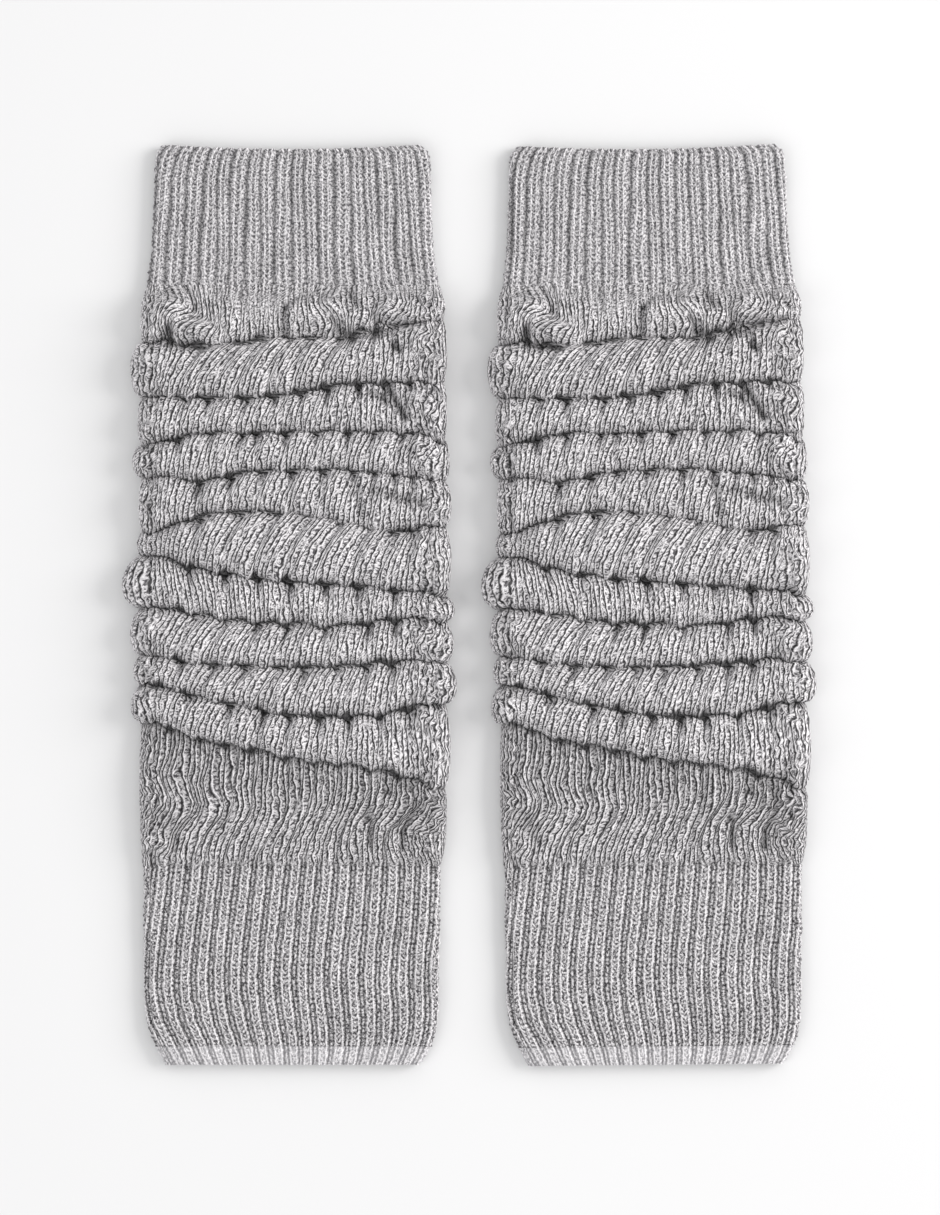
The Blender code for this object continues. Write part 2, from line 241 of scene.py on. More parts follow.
def knitMaterial(name, yarn):
    # marled yarn: rising cords with slanting stitches between on the loose leg, and on a rib two edge cords
    # with a column of V stitches between them, beside a darker groove
    material = bpy.data.materials.new(name)
    material.use_nodes = True
    tree = material.node_tree
    shader = tree.nodes["Principled BSDF"]
    link = tree.links.new

    def add(kind):
        return tree.nodes.new("ShaderNode" + kind)

    def give(socket, value):
        # links another node's output, or sets a number or a colour
        if isinstance(value, bpy.types.NodeSocket):
            link(value, socket)
        else:
            socket.default_value = (*value, 1.0) if isinstance(value, tuple) else value

    def do(operation, *values):
        node = add("Math")
        node.operation = operation
        for socket, value in zip(node.inputs, values):
            give(socket, value)
        return node.outputs[0]

    def mix(factor, first, second, blend="MIX"):
        node = add("Mix")
        node.data_type = "RGBA"
        node.blend_type = blend
        for socketName, value in (("Factor", factor), ("A", first), ("B", second)):
            give(node.inputs[socketName], value)
        return node.outputs["Result"]

    def softStep(value, low, high, outLow=0.0, outHigh=1.0):
        node = add("MapRange")
        node.interpolation_type = "SMOOTHSTEP"
        link(value, node.inputs["Value"])
        for end, number in (("From Min", low), ("From Max", high), ("To Min", outLow), ("To Max", outHigh)):
            node.inputs[end].default_value = number
        return node.outputs["Result"]

    def coordinates(layer):
        uv = add("UVMap")
        uv.uv_map = layer
        parts = add("SeparateXYZ")
        link(uv.outputs["UV"], parts.inputs[0])
        return parts.outputs["X"], parts.outputs["Y"]

    def spotAt(x, y):
        spot = add("CombineXYZ")
        link(x, spot.inputs[0])
        link(y, spot.inputs[1])
        return spot.outputs[0]

    def texture(spot, scale, detail, roughness=0.5):
        node = add("TexNoise")
        link(spot, node.inputs["Vector"])
        for socketName, value in (("Scale", scale), ("Detail", detail), ("Roughness", roughness)):
            node.inputs[socketName].default_value = value
        return node.outputs["Fac"]

    def noise(scale, detail, roughness=0.5, slant=0.0):
        # scale in cycles for each wale and course, slant as the share of a wale that it leans in a course
        leaning = do("MULTIPLY_ADD", courseAt, slant, waleAt)
        spot = spotAt(do("MULTIPLY", leaning, scale[0]), do("MULTIPLY", courseAt, scale[1]))
        return texture(spot, 1.0, detail, roughness)

    def named(attribute):
        node = add("Attribute")
        node.attribute_name = attribute
        return node.outputs["Fac"]

    def peak(value, middle, wide, tight):
        # 1 where value is near middle, falling to 0 at wide
        return softStep(do("ABSOLUTE", do("SUBTRACT", value, middle)), wide, tight)

    waleAt, courseAt = coordinates("knit")
    ribAt = coordinates("ribs")[0]
    rib = named("rib")
    paintedShade = named("paintedShade")
    stretched = named("stretched")

    # uneven yarn tension moves the stitches about a little, most on the loose leg
    loosen = do("MULTIPLY_ADD", rib, yarn["ribWander"] - yarn["wander"], yarn["wander"])
    aside = do("MULTIPLY", do("SUBTRACT", noise((0.6, 0.42), 2.0), 0.5), loosen)
    wale = do("ADD", waleAt, aside)
    course = do("MULTIPLY_ADD", do("SUBTRACT", noise((0.8, 0.4), 1.0), 0.5), 1.1, courseAt)

    # loose stitches: a thin bright cord for each wale, beside it an open slit darkened as a painted shadow,
    # and hatched yarn between
    # cords and slits keep their width where wales spread apart
    inWale = do("SUBTRACT", do("FRACT", wale), 0.5)
    fromCord = do("MULTIPLY", inWale, named("pitch"))
    cord = do("MULTIPLY", peak(fromCord, 0.0, yarn["cordWide"], 0.03),
              softStep(noise((0.8, 0.5), 2.0), 0.38, 0.6, yarn["faintest"], 1.0))
    slanted = do("MULTIPLY_ADD", inWale, yarn["slant"], course)
    stroke = peak(do("FRACT", slanted), 0.5, 0.42, 0.12)
    opened = softStep(noise((0.9, 0.3), 2.0), 0.34, 0.5, 0.15, 1.0)
    torn = softStep(noise((1.3, 0.14), 2.0), 0.34, 0.5)
    opened = do("MAXIMUM", opened, do("MULTIPLY", stretched, torn))
    slitShadow = do("MULTIPLY", peak(fromCord, -0.29, 0.25, 0.06), opened)
    between = do("MULTIPLY_ADD", stretched, yarn["stretchedBetween"] - yarn["between"], yarn["between"])
    hatch = do("MULTIPLY_ADD", stroke, 0.2, between)
    hatch = do("MULTIPLY", hatch, do("MULTIPLY_ADD", slitShadow, -yarn["slitShadow"], 1.0))
    loose = do("MAXIMUM", do("MULTIPLY", cord, do("MULTIPLY_ADD", stroke, 0.2, 0.85)), hatch)

    # ribbed stitches: their tone across a rib, from the middle of one groove to the next, darkened in and
    # beside the groove as painted shade, more on one side, and V stitches in the band between the two cords
    ribWale = do("FRACT", do("MULTIPLY_ADD", aside, 0.33, ribAt))
    across = add("ValToRGB")
    ramp = across.color_ramp
    for place, tone in yarn["toneAndShadeAcross"][1:-1]:
        ramp.elements.new(place)
    for element, (place, tone) in zip(ramp.elements, yarn["toneAndShadeAcross"]):
        element.position = place
        element.color = (tone, tone, tone, 1.0)
    link(ribWale, across.inputs["Fac"])
    fromRib = do("ABSOLUTE", do("SUBTRACT", ribWale, 0.5))
    edgeCord = do("MULTIPLY", peak(fromRib, yarn["cordAt"], 0.065, 0.012),
                  softStep(noise((0.8, 0.5), 2.0), 0.34, 0.6, yarn["faintest"], 1.0))
    chevron = do("MULTIPLY_ADD", fromRib, yarn["chevron"], course)
    slot = do("MULTIPLY", peak(do("FRACT", chevron), 0.5, 0.34, 0.1), softStep(fromRib, 0.3, 0.2))
    ribbed = do("MULTIPLY", across.outputs["Color"], do("MULTIPLY_ADD", slot, -yarn["chevronDepth"], 1.0))
    height = do("ADD", loose, do("MULTIPLY", rib, do("SUBTRACT", ribbed, loose)))

    # each stitch has a tone of its own, and light and dark fibres streak the yarn
    cell = spotAt(do("FLOOR", do("MULTIPLY", wale, 2.0)), do("FLOOR", slanted))
    tone = add("TexWhiteNoise")
    link(cell, tone.inputs["Vector"])
    fibres = noise(yarn["fibreScale"], 2.0, 0.7, yarn["fibreSlant"])
    fleck = softStep(fibres, 0.43, 0.56)
    marl = do("ADD", do("MULTIPLY", tone.outputs["Value"], yarn["toneShare"]),
              do("MULTIPLY", fleck, 1.0 - yarn["toneShare"]))
    yarnColour = mix(marl, yarn["darkFibre"], yarn["lightFibre"])
    # the low parts of the stitches take the near-black gap colour: painted shade between the yarns
    colour = mix(height, yarn["gap"], yarnColour)
    # the cords are mixed towards the light fibre colour: a painted highlight on their crowns
    bright = do("ADD", cord, do("MULTIPLY", rib, do("SUBTRACT", edgeCord, cord)))
    colour = mix(do("MULTIPLY", bright, yarn["cordShine"]), colour, yarn["lightFibre"])
    clouds = softStep(noise((0.16, 0.1), 2.0), 0.3, 0.7, 1.0 - yarn["clouds"], 1.0)
    # painted shade darkens the yarn in creases, pits, grooves, tucks and under lumps
    shade = do("MULTIPLY", clouds, do("MULTIPLY_ADD", paintedShade, -yarn["paintedShade"], 1.0))
    # fuzz keeps its size where the stitches stretch
    fuzz = texture(add("TexCoord").outputs["Object"], 1 / yarn["fuzzSize"], 1.0)
    shade = do("MULTIPLY", shade, softStep(fuzz, 0.4, 0.58, 1.0 - yarn["fuzz"], 1.0))
    grey = add("CombineColor")
    for socket in grey.inputs[:3]:
        link(shade, socket)
    colour = mix(1.0, colour, grey.outputs[0], "MULTIPLY")

    link(colour, shader.inputs["Base Color"])
    for socketName, value in yarnFinish.items():
        shader.inputs[socketName].default_value = value
    bump = add("Bump")
    bump.inputs["Strength"].default_value = 1.0
    bump.inputs["Distance"].default_value = yarn["bump"]
    link(do("MULTIPLY_ADD", fibres, 0.5, height), bump.inputs["Height"])
    link(bump.outputs["Normal"], shader.inputs["Normal"])
    return material


yarnFinish = {
    "Roughness": 0.88, "Specular IOR Level": 0.2,
    "Sheen Weight": 0.12, "Sheen Roughness": 0.5, "Sheen Tint": (0.85, 0.85, 0.9, 1.0),
}
yarnBase = {
    "lightFibre": (1.0, 0.975, 0.995),
    "darkFibre": (0.06, 0.056, 0.063),
    # near-black colour of the gaps between yarns: painted shade
    "gap": (0.012, 0.0115, 0.0125),
    "toneShare": 0.2,
    "cordWide": 0.18,
    "cordShine": 0.92,
    "faintest": 0.45,
    "between": 0.82,
    "stretchedBetween": 0.78,
    "slitShadow": 0.92,
    "slant": 1.3,
    # across one rib: place and tone, from the middle of the groove, with painted shadow lines beside it,
    # darker on one side
    "toneAndShadeAcross": [(0.0, 0.9), (0.06, 0.8), (0.1, 0.34), (0.16, 0.32), (0.21, 0.8), (0.3, 1.0), (0.41, 0.86),
                   (0.5, 0.95), (0.6, 0.86), (0.71, 1.0), (0.8, 0.8), (0.84, 0.22), (0.9, 0.18), (0.94, 0.7),
                   (1.0, 0.9)],
    "cordAt": 0.205,
    "chevron": 3.4,
    "chevronDepth": 0.5,
    "wander": 1.0,
    "ribWander": 0.6,
    "fibreScale": (2.3, 1.7),
    "fibreSlant": 0.0,
    "clouds": 0.14,
    # how dark the painted shade in creases, pits and grooves grows
    "paintedShade": 0.9,
    "fuzz": 0.2,
    "fuzzSize": 0.42 * mm,
    "bump": 0.35 * mm,
}
looseYarn = dict(yarnBase, between=0.87, clouds=0.1, fibreScale=(2.4, 1.5), fibreSlant=0.4)
# the fine rib's groove is darkest in its middle: painted shade
fineYarn = dict(yarnBase, darkFibre=(0.14, 0.134, 0.147), cordAt=0.17, cordShine=0.75, toneAndShadeAcross=[
    (0.0, 0.34), (0.06, 0.42), (0.13, 0.66), (0.22, 0.86), (0.33, 1.0), (0.4, 0.84), (0.5, 0.68), (0.6, 0.84),
    (0.67, 1.0), (0.78, 0.9), (0.88, 0.66), (0.95, 0.42), (1.0, 0.34)])
weltYarn = dict(yarnBase, darkFibre=(0.33, 0.323, 0.34), gap=(0.2, 0.195, 0.205), chevronDepth=0.2)


# Cuffs and welts

stitch = {"tall": 1.76 * mm, "seamGap": 0.02, "cuffSide": 9.0 * mm, "sideColumns": 22, "backColumns": 30}

upperCuff = {
    "from": 0.0, "to": 54.8, "ribs": 18, "samplesPerRib": 15, "rowHeight": 0.55,
    "sag": 1.6, "sagReach": 20.0, "scallop": 0.7, "ribRise": 0.45, "uneven": 0.2,
    "blurAbove": 12.0, "blurTo": 0.93,
    # down, then how far the ribs lean aside at the left, in the middle and at the right
    "waver": [(0.0, 0.6, -0.1, -1.8), (7.0, -0.9, -1.0, -1.6), (13.0, -1.9, -1.2, -1.0),
              (25.0, -1.8, -0.9, -0.6), (37.0, -2.1, -0.8, -0.9), (54.8, -1.6, -0.8, -1.0)],
    # heights across one rib, from the middle of the groove
    "shape": [0.0, 0.3, 0.6, 0.78, 0.92, 1.0, 0.82, 0.7, 0.7, 0.82, 1.0, 0.92, 0.78, 0.6, 0.3],
}
lowerCuff = {
    "from": 283.1, "to": 354.0, "ribs": 17, "samplesPerRib": 15, "rowHeight": 0.55,
    "sag": 0.0, "sagReach": 1.0, "scallop": 0.0, "ribRise": 0.6, "uneven": 0.05,
    "blurAbove": 0.0, "blurTo": 1.0,
    "waver": [(283.1, 2.0, 1.6, 0.7), (291.0, 1.0, 0.8, 0.6), (297.0, 0.1, 0.0, 0.4),
              (309.0, -1.5, -1.2, -0.4), (315.0, -2.2, -1.9, -1.2), (326.0, -3.2, -2.5, -1.9),
              (332.0, -3.2, -2.3, -1.7), (344.0, -1.7, -1.0, -0.8), (350.0, -0.2, -0.4, -0.6),
              (361.3, 1.5, 0.6, 0.0)],
    # a low strand in the middle of the groove, then a cord at each edge of the rib
    "shape": [0.25, 0.12, 0.0, 0.3, 0.9, 1.0, 0.75, 0.66, 0.66, 0.75, 1.0, 0.9, 0.3, 0.0, 0.12],
}
welt = {**lowerCuff, "ribRise": 0.3, "from": 354.0, "to": 361.3}
upperSeam = upperCuff["to"] * mm
lowerSeam = lowerCuff["from"] * mm


def smoothBetween(value, low, high):
    t = np.clip((value - low) / (high - low), 0, 1)
    return t * t * (3 - 2 * t)


def byThirds(table, place, across):
    # a value from a table of place, left, middle and right
    table = np.array(table)
    left, middle, right = (np.interp(place, table[:, 0], table[:, i]) for i in (1, 2, 3))
    rightHalf = middle + (right - middle) * (2 * across - 1)
    return np.where(across < 0.5, left + (middle - left) * 2 * across, rightHalf)


def ribsAt(cuff, seed, down, across, turned):
    # where a place lies in the count of ribs, turned ribs round from the left end of the front
    lean = byThirds(cuff["waver"], down / mm, across)
    uneven = cuff["uneven"] * smoothNoise(seed + 71, across + 0.02 * np.sin(down / (9 * mm)), 2.0, 7.0)
    return turned - lean * mm / pair["front"] * cuff["ribs"] + uneven


def ribLift(cuff, place, rise):
    # how far the cloth rises at a place in the count of ribs
    shape = np.array(cuff["shape"] + cuff["shape"][:1])
    return np.interp(np.mod(place, 1) * (len(shape) - 1), np.arange(len(shape)), shape) * rise


def buildCuff(name, side, cuff, material):
    seed = pair["seeds"][side]
    front = cuff["ribs"] * cuff["samplesPerRib"]
    wide = pair["front"]
    halfRound = stitch["cuffSide"]
    round0 = columnsRound(front, stitch["sideColumns"], stitch["backColumns"], wide, halfRound)
    across, facing = foldRound(round0, wide, halfRound)
    rows = max(8, round((cuff["to"] - cuff["from"]) / cuff["rowHeight"]))
    gap = stitch["seamGap"]
    # the piece ends a little short of a seam, but not at the open edges
    down = np.linspace(cuff["from"] + (gap if cuff["from"] else 0),
                       cuff["to"] - (gap if cuff["to"] < welt["to"] else 0), rows)[:, None] * mm + 0 * across
    isFront = facing == 90
    turn = np.sin(np.radians(facing))
    x, up = placeOnTube(across, facing, down, sectionAt(down)[2], 0.0, 0.0)
    sag = cuff["sag"] * mm * np.clip(1 - down / (cuff["sagReach"] * mm), 0, 1) * (1 - (2 * across - 1) ** 2)
    along = down + sag
    points = np.stack([x, along, up], axis=-1)
    normals = surfaceNormals(points)
    course = (down - cuff["from"] * mm) / stitch["tall"]
    fromSeam = cuff["to"] * mm - down
    blur = 1.0
    if cuff["blurAbove"]:
        blur = cuff["blurTo"] + (1 - cuff["blurTo"]) * smoothBetween(fromSeam, 0, cuff["blurAbove"] * mm)
    ribPlace = ribsAt(cuff, seed, down, across, round0 / wide * cuff["ribs"])
    ribShare = ribLift(cuff, ribPlace, 1.0)
    uneven = 1 + 0.15 * patchNoise(seed + 5, x, along, 9 * mm)
    lift = ribShare * np.clip(turn + 0.7, 0, 1) * cuff["ribRise"] * mm * uneven * (0.5 + 0.5 * blur)
    # each course beads the cloth, and the edges are a little ragged
    bead = np.where(isFront, 0.08, 0.2 * (turn > -0.7)) * mm
    ragged = np.where(isFront, 0, 0.22 * mm * (turn > -0.7) * patchNoise(seed + 6, x * 3, along, 3.2 * mm))
    points = points + normals * (lift + bead * np.sin(2 * math.pi * course) + ragged)[..., None]
    if cuff["scallop"]:
        edge = np.clip(1 - down / (3.5 * mm), 0, 1)
        points[..., 1] -= np.where(isFront, edge * (ribShare - 0.4) * cuff["scallop"] * mm, 0)
    if cuff["from"] == lowerCuff["from"]:
        # painted shade in the grooves of the first courses, where the leg's cloth gathers over them
        shadowReach = (3.5 + 2.5 * smoothNoise(seed + 12, across, 7, 21)) * mm
        start = 1 - smoothBetween((down - cuff["from"] * mm) / shadowReach, 0, 1)
        start = start * np.clip(0.8 + 0.6 * smoothNoise(seed + 8, across, 5, 14), 0, 1.5)
    else:
        start = 0 * x
    points[..., 2] = np.maximum(points[..., 2], 0)
    inner = insideOf(points, 5, 7)
    knitU = np.broadcast_to(round0 / wide * cuff["ribs"] * 3, x.shape)
    # painted shade in the grooves of the ribs, in uneven patches on the upper cuff
    uneasy = np.clip(0.3 + patchNoise(seed + 77, x, along * 0.3, 16 * mm), 0, 1) * (cuff["scallop"] > 0)
    paintedShade = np.clip((0.06 + 0.3 * uneasy + 0.5 * start) * (1 - ribShare), 0, 1)
    fields = {"rib": blur * np.ones_like(x), "paintedShade": paintedShade, "stretched": 0 * x, "pitch": 1 + 0 * x}
    return knitMesh(f"{side}_{name}_knit", points, inner, knitU, course, ribPlace, fields, side, material)


# The slouched leg

leg = {
    "wales": 57, "samplesPerWale": 4, "sideWales": 10, "backColumns": 24,
    "rollRows": 22, "bandRows": 8, "relaxedRows": 44,
    "side": 17.0 * mm, "halfWidth": 59.0,
    "lift": 1.0, "landShare": 0.75, "crownShare": 0.5, "lean": 0.06, "seamFade": 8.0,
    "cordRise": 0.26, "pleatRise": 0.4, "sway": 1.3, "bunch": 0.55, "bunchRelaxed": 0.5,
    "ragged": 0.3, "raggedFirst": 0.9,
    # where the crease over each roll lies, from the left edge to the right one, then its rise, how far it
    # bulges at each edge, how slowly it rises from its upper crease, and how its wales lean at the left, in
    # the middle and at the right
    "rolls": [
        ("under cuff", (54.8,) * 7, 5.6, 1.0, 1.0, 1.5, (0.0, 0.0, 0.0)),
        ("first", (78.1, 79.2, 77.3, 76.5, 76.5, 72.2, 69.0), 7.0, 5.0, 1.7, 1.0, (0.75, 0.45, 0.2)),
        ("second", (99.0, 100.5, 100.5, 98.6, 95.4, 94.6, 93.4), 6.0, 2.0, 1.5, 1.1, (0.35, 0.25, -0.1)),
        ("third", (117.9, 114.3, 113.9, 113.9, 113.5, 113.9, 115.9), 6.2, 4.0, 2.4, 1.0, (0.25, 0.25, 0.3)),
        ("fourth", (130.5, 133.3, 129.3, 128.9, 128.5, 129.7, 132.1), 6.2, 1.4, 3.0, 1.0, (0.25, 0.3, 0.1)),
        ("wide", (152.6, 146.7, 145.1, 146.3, 149.4, 153.0, 150.2), 7.4, 2.2, 2.7, 1.0, (0.3, 0.5, 0.35)),
        ("slanted", (161.3, 167.2, 170.3, 172.7, 173.9, 175.4, 177.0), 6.6, 8.0, 4.0, 1.25, (-0.3, 0.0, 0.1)),
        ("seventh", (181.8, 185.7, 188.5, 188.9, 190.0, 187.3, 186.9), 6.2, 4.7, 3.5, 1.3, (0.7, 0.3, 0.0)),
        ("eighth", (200.3, 204.6, 205.4, 205.8, 205.4, 203.8, 203.0), 6.0, 3.4, 4.6, 1.3, (0.6, 0.4, 0.1)),
        ("last", (211.7, 217.6, 221.6, 224.7, 225.1, 224.3, 219.2), 6.6, 4.3, 2.4, 1.4, (0.45, 0.2, -0.15)),
        ("relaxed", (226.7, 233.4, 237.0, 241.3, 243.7, 246.8, 252.3), 2.2, 0.8, 1.8, 1.0, (0.0, 0.0, 0.0)),
        ("end", (283.1,) * 7, 0.0, 0.0, 0.0, 1.0, (0.0, 0.0, 0.0)),
    ],
    # pits along each crease, counted from the first roll's: how far across, and how deep from 0 to 1
    "pits": {
        1: [(-45.5, 1.2), (-29.2, 0.45), (-22.5, 0.35), (-8.7, 0.45), (2.4, 0.5), (13.4, 0.6), (22.1, 0.6),
            (33.0, 0.8), (43.0, 0.5)],
        2: [(-48.0, 0.6), (-37.1, 0.6), (-21.7, 0.7), (-9.5, 0.7), (2.4, 0.7), (14.2, 0.8), (27.0, 0.9),
            (39.8, 1.0), (50.0, 0.7)],
        3: [(-48.9, 0.9), (-36.7, 0.7), (-23.3, 0.8), (-16.6, 0.5), (-5.5, 0.7), (8.3, 0.7), (22.1, 0.7),
            (31.5, 0.5), (44.2, 1.0)],
        4: [(-40.2, 1.1), (-26.8, 0.8), (-15.8, 0.7), (-3.5, 0.7), (10.3, 0.7), (23.7, 0.9), (33.0, 0.6),
            (41.0, 0.8), (50.0, 0.6)],
        5: [(-42.2, 0.7), (-27.6, 0.8), (-13.8, 0.8), (-0.4, 0.8), (11.8, 0.7), (25.6, 0.9), (37.5, 1.0),
            (49.0, 0.8)],
        6: [(-43.0, 0.9), (-28.4, 0.7), (-13.8, 0.8), (-1.2, 0.9), (13.4, 0.8), (26.4, 0.7), (41.8, 0.9)],
        7: [(-46.0, 0.8), (-32.7, 1.0), (-17.8, 1.1), (-4.8, 1.0), (11.5, 0.7), (30.9, 0.9), (42.5, 1.2)],
        8: [(-48.7, 1.1), (-36.4, 1.0), (-22.8, 0.8), (-10.0, 0.4), (1.5, 0.8), (16.4, 0.8), (29.5, 1.1),
            (40.3, 1.3)],
        9: [(-56.0, 0.8), (-45.2, 1.1), (-28.0, 1.2), (-14.2, 1.3), (-2.2, 1.2), (10.5, 1.3), (22.2, 1.2),
            (36.0, 0.5), (49.2, 1.3)],
        10: [(-51.7, 0.6), (-39.4, 0.7), (-28.4, 0.7), (-16.6, 0.7), (-3.5, 0.5), (8.0, 0.5), (19.5, 0.5),
             (32.0, 0.4), (44.0, 0.8)],
    },
    "pitWidth": 1.9, "pitReach": 5.0, "pitDip": 1.6, "lobeRise": 0.15, "lobeWidest": 15.0,
    "lobesEnd": 61.0, "pitBelow": 0.55, "pitTrail": 2.4,
    # short creases: two ends, how deep and how wide
    "tucks": [
        (-56.0, 59.5, -48.0, 57.5, 2.0, 1.4), (-45.0, 55.5, -41.0, 57.0, 2.6, 1.4),
        (-41.0, 58.5, -38.6, 65.0, 2.6, 1.2), (-48.0, 77.5, -48.5, 72.0, 5.5, 1.8),
        (-46.0, 78.5, -35.0, 79.5, 3.6, 1.2), (-3.0, 75.0, -2.6, 64.0, 3.0, 1.2),
        (18.5, 73.0, 24.0, 76.0, 3.8, 1.8), (19.0, 72.0, 15.5, 68.0, 2.4, 1.6),
        (39.5, 79.0, 42.0, 80.5, 3.8, 1.4), (21.0, 57.5, 24.0, 62.0, 3.2, 1.9),
        (31.5, 73.5, 34.0, 73.0, 4.4, 1.7), (37.5, 96.0, 44.0, 107.0, 3.6, 1.8),
        (30.0, 97.0, 41.0, 103.0, 2.6, 1.6), (31.0, 135.5, 50.0, 140.5, 2.4, 2.2),
        (25.0, 133.0, 26.5, 145.0, 1.8, 1.6), (36.3, 244.0, 36.8, 254.5, 2.2, 1.2),
        (37.4, 248.0, 44.0, 249.6, 1.6, 1.1), (44.0, 249.6, 47.0, 255.0, 1.8, 1.1),
        (47.0, 255.0, 47.3, 261.3, 2.4, 1.2), (47.3, 261.3, 43.2, 269.0, 2.2, 1.2),
        (43.2, 269.0, 42.9, 276.0, 3.4, 1.4), (29.5, 264.0, 30.4, 275.0, 2.6, 1.3),
        (-56.5, 118.5, -55.5, 131.5, 1.8, 1.4), (-56.6, 139.5, -55.2, 150.0, 1.8, 1.3),
        (-56.0, 262.0, -46.0, 274.0, 1.4, 3.4),
    ],
    # rounded lumps under the cuff: the outline of the upper edge, across and down, then rise and reach
    "lumps": [
        ([(-56.5, 66.5), (-54.8, 63.9), (-47.7, 60.5), (-42.8, 61.3), (-40.4, 66.4), (-37.5, 69.0),
          (-31.0, 71.5), (-26.0, 73.0)], 2.3, 15.0),
        ([(-4.5, 69.0), (-2.8, 64.7), (2.0, 60.7), (9.1, 59.3), (16.6, 61.1), (21.3, 64.7), (28.0, 64.2),
          (31.5, 66.5)], 3.2, 14.0),
        ([(31.5, 68.0), (34.0, 62.0), (39.0, 58.5), (46.0, 59.5), (52.0, 64.0), (56.0, 68.0)], 2.0, 12.0),
        ([(30.0, 78.5), (34.5, 75.0), (40.0, 72.5), (46.0, 70.0), (52.0, 69.0), (57.0, 71.0)], 1.6, 7.0),
    ],
    "lumpShade": 0.65, "rumple": 0.6, "rumpleRise": 0.7, "rumpleCell": 4 * mm,
    # where wales draw together: across, down, size and share
    "pulls": [(-47.0, 76.0, 5.5, 0.45), (21.5, 75.5, 8.0, 0.55), (32.5, 74.0, 7.0, 0.6)],
    # how much of its turn a knot takes in the band under the cuff, and at the edges below it
    "bandEnd": 78.0, "bandTurn": 0.9, "edgeTurn": 0.4,
    # curled knots of loose cloth: across, down, size, turn in degrees, rise
    "knots": [
        (-43.5, 67.5, 8.0, 88, 0.4), (-34.0, 73.0, 5.5, 50, 0.2), (13.0, 65.0, 6.5, -50, 0.3),
        (27.0, 69.0, 4.5, 30, 0.0), (40.0, 66.0, 7.0, 60, 0.3), (51.5, 75.5, 4.5, 60, 0.5),
        (-58.0, 91.9, 5.0, 60, 0.6), (55.6, 84.8, 4.5, 90, 0.8), (57.5, 96.2, 4.0, -70, 0.7),
        (48.5, 99.0, 4.0, 80, 0.6), (55.0, 103.7, 4.5, 90, 0.8), (-57.5, 115.1, 4.5, -80, 0.7),
        (53.0, 121.0, 6.5, 130, 1.2), (-58.5, 136.8, 4.0, 70, 0.6), (57.0, 142.7, 4.5, 100, 0.9),
        (58.0, 161.3, 4.5, -90, 0.8), (56.3, 175.9, 4.5, 100, 0.8), (-53.5, 188.0, 5.5, 80, 0.8),
        (53.2, 193.2, 5.5, 130, 1.1), (-58.5, 203.0, 4.5, 60, 0.7), (59.0, 210.6, 3.5, 80, 1.2),
        (-56.5, 220.4, 4.5, -70, 0.8), (53.2, 224.8, 4.0, 110, 1.0), (57.8, 236.6, 4.0, -90, 0.8),
        (53.5, 252.0, 4.5, 90, 1.0), (57.0, 261.0, 5.0, 130, 1.4), (50.5, 268.5, 4.5, 80, 0.9),
        (-51.7, 277.0, 4.0, 120, 0.8),
    ],
    # share of the way down the relaxed stretch, then how far the wales shift at left, middle and right
    "waver": [
        (0.0, 0.0, 0.0, 0.0), (0.2, -0.6, 0.0, 0.3), (0.34, -2.6, 0.0, -1.5), (0.42, -0.8, 0.0, -4.0),
        (0.5, 1.9, -0.6, -6.6), (0.58, 1.6, -2.0, -9.0), (0.66, -1.2, -3.6, -9.2), (0.76, -4.6, -5.6, -9.0),
        (0.83, -6.0, -6.8, -8.2), (0.91, -6.2, -8.0, -7.0), (1.0, -6.0, -8.0, -6.0),
    ],
    "gatherRise": 1.1, "gatherReach": 16.0,
}
lastRoll = len(leg["rolls"]) - 2


def alongTable(values, place):
    # a smooth curve through evenly spaced values
    spot = np.clip(place, 0, 1) * (len(values) - 1)
    i = np.minimum(spot.astype(int), len(values) - 2)
    t = spot - i
    values = np.asarray(values)
    here = values[i]
    after = values[i + 1]
    startSlope = (after - values[np.maximum(i - 1, 0)]) / 2
    endSlope = (values[np.minimum(i + 2, len(values) - 1)] - here) / 2
    return (here * (2 * t**3 - 3 * t**2 + 1) + startSlope * (t**3 - 2 * t**2 + t)
            + after * (3 * t**2 - 2 * t**3) + endSlope * (t**3 - t**2))


def pitsOn(crease, seed):
    # this crease's pits, moved a little so that no two leg warmers are the same
    rng = np.random.default_rng(seed * 100 + crease)
    pits = np.array(leg["pits"].get(crease, [(0.0, 0.0)]))
    pits[:, 0] += rng.uniform(-0.8, 0.8, len(pits))
    pits[:, 1] *= rng.uniform(0.6, 1.2, len(pits))
    return pits


def lobesAlong(crease, seed, x):
    # 0 at the pits of a crease, rising to 1 in the middle of each lobe, and each lobe's width in mm
    places = np.concatenate([[-leg["lobesEnd"]], pitsOn(crease, seed)[:, 0], [leg["lobesEnd"]]])
    i = np.clip(np.searchsorted(places, x) - 1, 0, len(places) - 2)
    width = places[i + 1] - places[i]
    t = np.clip((x - places[i]) / width, 0, 1) ** 0.8
    return 4 * t * (1 - t), width


def pitDepth(crease, seed, x, away, reach, trailing=1.0):
    # how much a roll sinks near the pits of a crease, away from it in mm, trailing off to their left
    depth = 0
    for place, deep in pitsOn(crease, seed):
        width = leg["pitWidth"] * (0.7 + 0.4 * deep) * (1 - 0.35 * np.clip(away / reach, 0, 1))
        width = np.where(x < place, trailing, 1.0) * width
        reached = 1 - smoothBetween(away, 0, reach * (0.6 + 0.4 * deep))
        depth = np.maximum(depth, min(1, deep) * np.exp(-((x - place) / width) ** 2) * reached)
    return depth


def awayFromEdges(across, sharpness=6):
    # 1 in the middle of the front, falling to 0 at its two edges
    return 1 - (2 * across - 1) ** sharpness


def fromSeams(down):
    return np.minimum(down - upperSeam, lowerSeam - down)


def withinSeams(down):
    return np.clip(down, upperSeam + stitch["seamGap"] * mm, lowerSeam - stitch["seamGap"] * mm)


